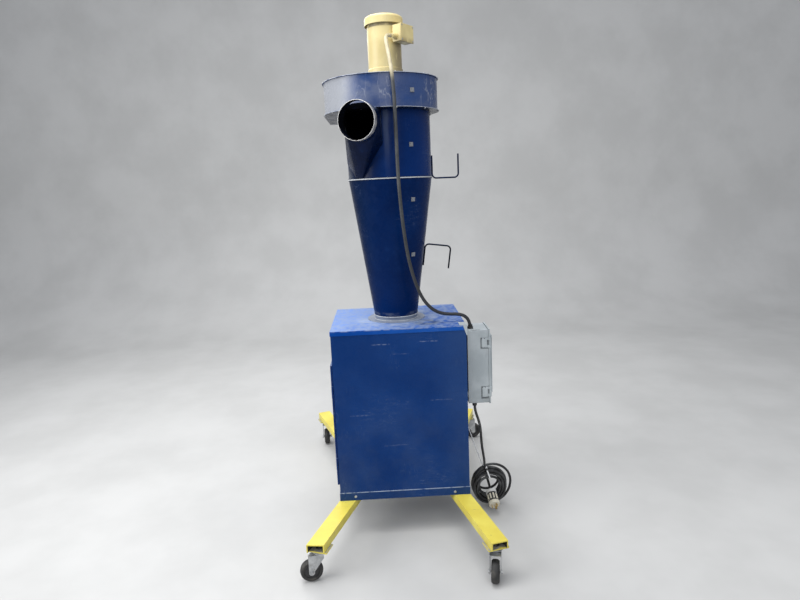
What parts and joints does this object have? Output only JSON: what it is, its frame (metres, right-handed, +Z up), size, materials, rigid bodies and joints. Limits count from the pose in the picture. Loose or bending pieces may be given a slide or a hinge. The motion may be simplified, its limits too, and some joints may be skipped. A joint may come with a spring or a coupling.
{
  "type": "cyclone dust separator",
  "caption": "Portable cyclone dust separator: motor and scroll fan on a barrel and long cone, emptying into a sheet-metal dust cabinet with a side door, on splayed legs with swivel casters.",
  "frame": {"origin": "on the floor, at the middle of the footprint", "axes": "+Z up, +X to the right when facing the inlet side, +Y to the rear (discharge side)"},
  "size_m": [1.1336, 1.6978, 2.476],
  "materials": {
    "blue_paint": "semi-gloss, scuffed",
    "yellow_paint": "semi-gloss, scuffed",
    "zinc_plate": "zinc plate, dull",
    "cream_paint": "semi-gloss",
    "grey_paint": "semi-gloss",
    "black_rubber": "matte",
    "bare_metal": "worn bright rim",
    "white_nylon": "matte",
    "black_plastic": "matte",
    "black_cord": "matte",
    "grey_cord": "matte"
  },
  "bodies": {
    "frame": {"leg_front_left": "yellow_paint", "leg_front_right": "yellow_paint", "leg_rear_left": "yellow_paint", "leg_rear_right": "yellow_paint", "caster_plates": "zinc_plate", "base_pan": "blue_paint", "front_panel": "blue_paint", "back_panel": "blue_paint", "right_panel": "blue_paint", "left_panel": "blue_paint", "cabinet_lid": "blue_paint", "door_hinges": "blue_paint", "cone_collar": "grey_paint", "cone": "blue_paint", "joint_ring": "grey_paint", "barrel": "blue_paint", "inlet_pipe": "bare_metal", "inlet_transition": "blue_paint", "fan_floor": "blue_paint", "fan_scroll": "blue_paint", "fan_cover": "blue_paint", "motor_frame": "cream_paint", "motor_cowl": "cream_paint", "junction_box": "cream_paint", "motor_gland": "cream_paint", "hook_upper": "blue_paint", "hook_lower": "blue_paint", "tie_mounts": "white_nylon", "enclosure_box": "grey_paint", "enclosure_bracket": "grey_paint", "enclosure_glands": "black_plastic", "motor_lead": "grey_cord", "supply_cord": "black_cord", "cord_coil": "black_cord", "coil_tie": "white_nylon", "plug": "black_cord"},
    "caster_fl": {"fork_fl": "zinc_plate"},
    "wheel_fl": {"wheel_fl": "black_rubber"},
    "caster_fr": {"fork_fr": "zinc_plate"},
    "wheel_fr": {"wheel_fr": "black_rubber"},
    "caster_rl": {"fork_rl": "zinc_plate"},
    "wheel_rl": {"wheel_rl": "black_rubber"},
    "caster_rr": {"fork_rr": "zinc_plate"},
    "wheel_rr": {"wheel_rr": "black_rubber"},
    "dust_door": {"dust_door": "blue_paint", "door_latches": "zinc_plate"},
    "enclosure_door": {"enclosure_door": "grey_paint"}
  },
  "joints": [
    {"name": "swivel_fl", "type": "hinge", "parent": "frame", "child": "caster_fl", "pos_m": [-0.39024, -0.70419, 0.131], "axis": [0, 0, 1], "continuous": true},
    {"name": "roll_fl", "type": "hinge", "parent": "caster_fl", "child": "wheel_fl", "pos_m": [-0.4316, -0.71148, 0.051], "axis": [0.1736, -0.9848, 0], "continuous": true},
    {"name": "swivel_fr", "type": "hinge", "parent": "frame", "child": "caster_fr", "pos_m": [0.37746, -0.75713, 0.131], "axis": [0, 0, 1], "continuous": true},
    {"name": "roll_fr", "type": "hinge", "parent": "caster_fr", "child": "wheel_fr", "pos_m": [0.36801, -0.79805, 0.051], "axis": [0.9744, -0.225, 0], "continuous": true},
    {"name": "swivel_rl", "type": "hinge", "parent": "frame", "child": "caster_rl", "pos_m": [-0.49321, 0.79395, 0.131], "axis": [0, 0, 1], "continuous": true},
    {"name": "roll_rl", "type": "hinge", "parent": "caster_rl", "child": "wheel_rl", "pos_m": [-0.48955, 0.75211, 0.051], "axis": [0.9962, 0.0872, 0], "continuous": true},
    {"name": "swivel_rr", "type": "hinge", "parent": "frame", "child": "caster_rr", "pos_m": [0.45772, 0.7193, 0.131], "axis": [0, 0, 1], "continuous": true},
    {"name": "roll_rr", "type": "hinge", "parent": "caster_rr", "child": "wheel_rr", "pos_m": [0.49956, 0.72296, 0.051], "axis": [-0.0872, 0.9962, 0], "continuous": true},
    {"name": "dust_door_hinge", "type": "hinge", "parent": "frame", "child": "dust_door", "pos_m": [-0.3217, -0.3833, 0.386], "axis": [0, 0, 1], "range_deg": [0, 110]},
    {"name": "enclosure_door_hinge", "type": "hinge", "parent": "frame", "child": "enclosure_door", "pos_m": [0.4398, -0.3433, 0.701], "axis": [0, 0, -1], "range_deg": [0, 110]}
  ]
}
